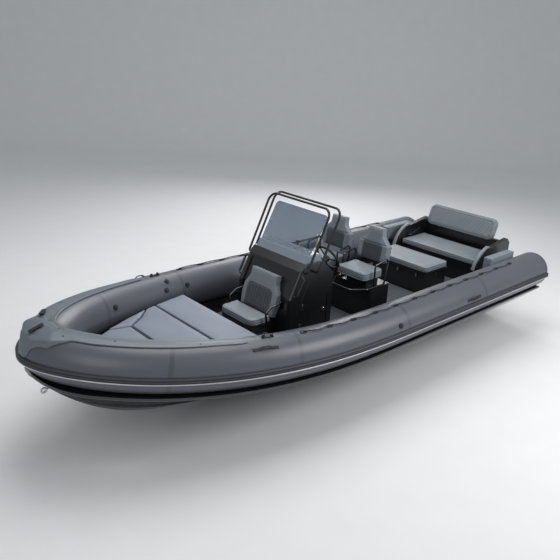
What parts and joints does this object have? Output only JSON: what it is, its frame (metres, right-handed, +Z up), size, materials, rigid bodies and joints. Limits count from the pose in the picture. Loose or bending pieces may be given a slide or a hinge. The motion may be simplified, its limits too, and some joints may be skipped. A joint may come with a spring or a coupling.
{
  "type": "rigid inflatable boat with a centre console",
  "caption": "Rigid-hulled inflatable boat with a deep-V hull, side tubes, centre console and screen, helm seats, a stern bench, an aft locker and a cushioned bow.",
  "frame": {"origin": "on the centreline amidships at the waterline, 3.7 m forward of the tubes' aft ends and 50 mm below the deck", "axes": "+X forward, +Y to port, +Z up"},
  "size_m": [7.379, 2.912, 2.201],
  "materials": {
    "gelcoat_dark": "dark grey gelcoat",
    "deck_foam": "grey ribbed foam",
    "tube_fabric": "matt coated fabric",
    "black_rubber": "matt black rubber",
    "bow_moulding": "satin silver grey moulding",
    "stainless": "polished stainless steel",
    "black_moulding": "satin black moulding",
    "grey_moulding": "satin light grey moulding",
    "bow_cloth": "blue grey marine vinyl",
    "seat_cloth": "grey marine vinyl with a quilted face",
    "dash_black": "matt black",
    "tinted_screen": "tinted clear acrylic",
    "black_tube": "black powder coat",
    "wheel_grip": "soft black grip",
    "black_rope": "braided rope"
  },
  "bodies": {
    "boat": {"hull": "gelcoat_dark", "deck_covering": "deck_foam", "tube_port": "tube_fabric", "tube_starboard": "tube_fabric", "tube_bow": "tube_fabric", "tube_end_caps": "tube_fabric", "rub_strake": "black_rubber", "bow_plate": "bow_moulding", "bow_eye": "stainless", "bow_cleats": "black_rubber", "console_grab_bars": "black_tube", "bow_base": "black_moulding", "bow_cushion_aft": "bow_cloth", "bow_cushion_middle": "bow_cloth", "bow_cushion_fore": "bow_cloth", "bow_cushion_sides": "bow_cloth", "console": "black_moulding", "console_cowl": "grey_moulding", "dash_panel": "dash_black", "windscreen": "tinted_screen", "windscreen_hoops": "black_tube", "steering_column": "black_moulding", "throttle": "dash_black", "front_seat_base": "black_moulding", "front_seat_backrest": "seat_cloth", "front_seat_rails": "stainless", "helm_seat_box": "black_moulding", "helm_seat_cushions": "seat_cloth", "helm_seat_backrests": "seat_cloth", "helm_seat_rails": "stainless", "aft_locker": "black_moulding", "aft_locker_fittings": "stainless", "bench": "black_moulding", "bench_cushion": "seat_cloth", "bench_backrest": "seat_cloth", "bench_arm_pads": "seat_cloth", "bench_grab_rails": "stainless", "bench_back_brackets": "black_tube", "side_pads": "seat_cloth", "lifelines": "black_rope", "lifeline_patches": "black_rubber", "tube_handles": "black_rubber", "tube_valves": "black_rubber", "stern_eyes": "stainless"},
    "steering_wheel": {"steering_wheel": "wheel_grip"},
    "aft_locker_lid": {"aft_locker_lid": "black_moulding", "aft_locker_cushion": "seat_cloth"},
    "front_seat": {"front_seat_cushion": "seat_cloth"}
  },
  "joints": [
    {"name": "steering_turn", "type": "hinge", "parent": "boat", "child": "steering_wheel", "pos_m": [-0.045, 0.29, 0.935], "axis": [-0.866, 0, 0.5], "range_deg": [-540, 540]},
    {"name": "aft_locker_lid_hinge", "type": "hinge", "parent": "boat", "child": "aft_locker_lid", "pos_m": [-2.408, 0, 0.3753], "axis": [0, -1, 0], "range_deg": [0, 90]},
    {"name": "front_seat_hinge", "type": "hinge", "parent": "boat", "child": "front_seat", "pos_m": [1.148, 0, 0.317], "axis": [0, 1, 0], "range_deg": [0, 90]}
  ]
}
